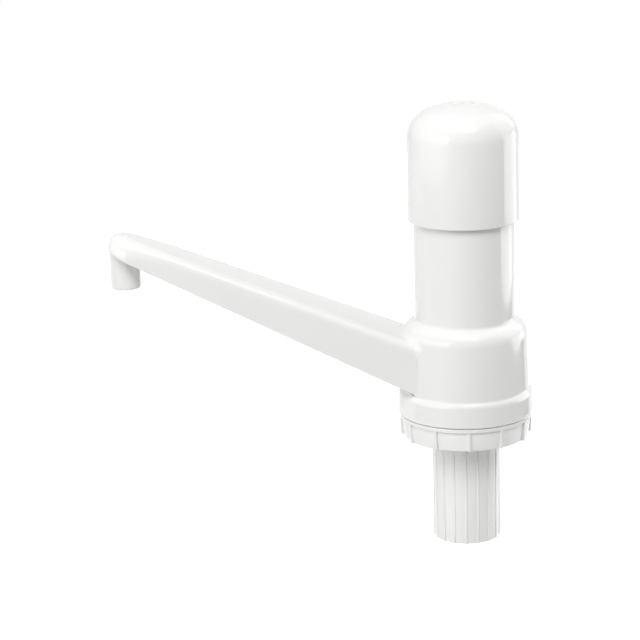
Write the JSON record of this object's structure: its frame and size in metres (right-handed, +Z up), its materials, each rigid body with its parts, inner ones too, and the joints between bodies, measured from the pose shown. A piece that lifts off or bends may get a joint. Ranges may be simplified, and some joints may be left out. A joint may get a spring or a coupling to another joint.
{
  "type": "dosing pump",
  "caption": "White push-down dosing pump for a bucket lid, with a domed push cap, a rising spout arm with nozzle, a ribbed clamp nut and a ribbed intake tube.",
  "frame": {"origin": "centre of the foot flange's underside, on the plunger's axis, in the plane of the bucket lid", "axes": "+Z up along the plunger, -X along the spout arm"},
  "size_m": [0.1899, 0.0608, 0.2006],
  "materials": {
    "white_gloss": "glossy injection-moulded polypropylene",
    "natural_plastic": "plain moulded polyethylene",
    "seal_rubber": "moulded nitrile rubber",
    "stainless": "drawn or ground stainless steel"
  },
  "bodies": {
    "pump_body": {"body_shell": "white_gloss", "spout_arm": "white_gloss", "arm_floor": "white_gloss", "nozzle_tube": "white_gloss", "outlet_seat": "natural_plastic", "ball_stop_pin": "stainless", "base_plug": "natural_plastic", "base_oring": "seal_rubber", "lid_gasket": "seal_rubber", "intake_tube": "white_gloss", "inlet_cage": "natural_plastic", "barrel_collar": "natural_plastic", "return_spring": "stainless"},
    "plunger": {"push_cap": "white_gloss", "plunger_stem": "natural_plastic", "piston": "natural_plastic", "piston_seals": "seal_rubber", "piston_screw": "stainless"},
    "washer": {"slip_washer": "natural_plastic"},
    "nut": {"lid_nut": "white_gloss"},
    "inlet_valve": {"inlet_ball": "stainless"},
    "outlet_valve": {"outlet_ball": "stainless"}
  },
  "joints": [
    {"name": "plunger_press", "type": "slide", "parent": "pump_body", "child": "plunger", "axis": [0, 0, -1], "range_m": [0, 0.036], "stiffness_N_per_m": 400, "springref_m": -0.02, "deforming": ["return_spring"]},
    {"name": "nut_travel", "type": "slide", "parent": "pump_body", "child": "washer", "axis": [0, 0, -1], "range_m": [0, 0.0081]},
    {"name": "nut_turn", "type": "hinge", "parent": "washer", "child": "nut", "pos_m": [0, 0, 0], "axis": [0, 0, -1], "range_deg": [0, 720]},
    {"name": "inlet_lift", "type": "slide", "parent": "pump_body", "child": "inlet_valve", "axis": [0, 0, 1], "range_m": [0, 0.003]},
    {"name": "outlet_lift", "type": "slide", "parent": "pump_body", "child": "outlet_valve", "axis": [-0.8976, 0, 0.4407], "range_m": [0, 0.0035]}
  ],
  "couplings": [
    {"joint": "nut_travel", "follows": "nut_turn", "m_per_rad": 0.00063662}
  ]
}
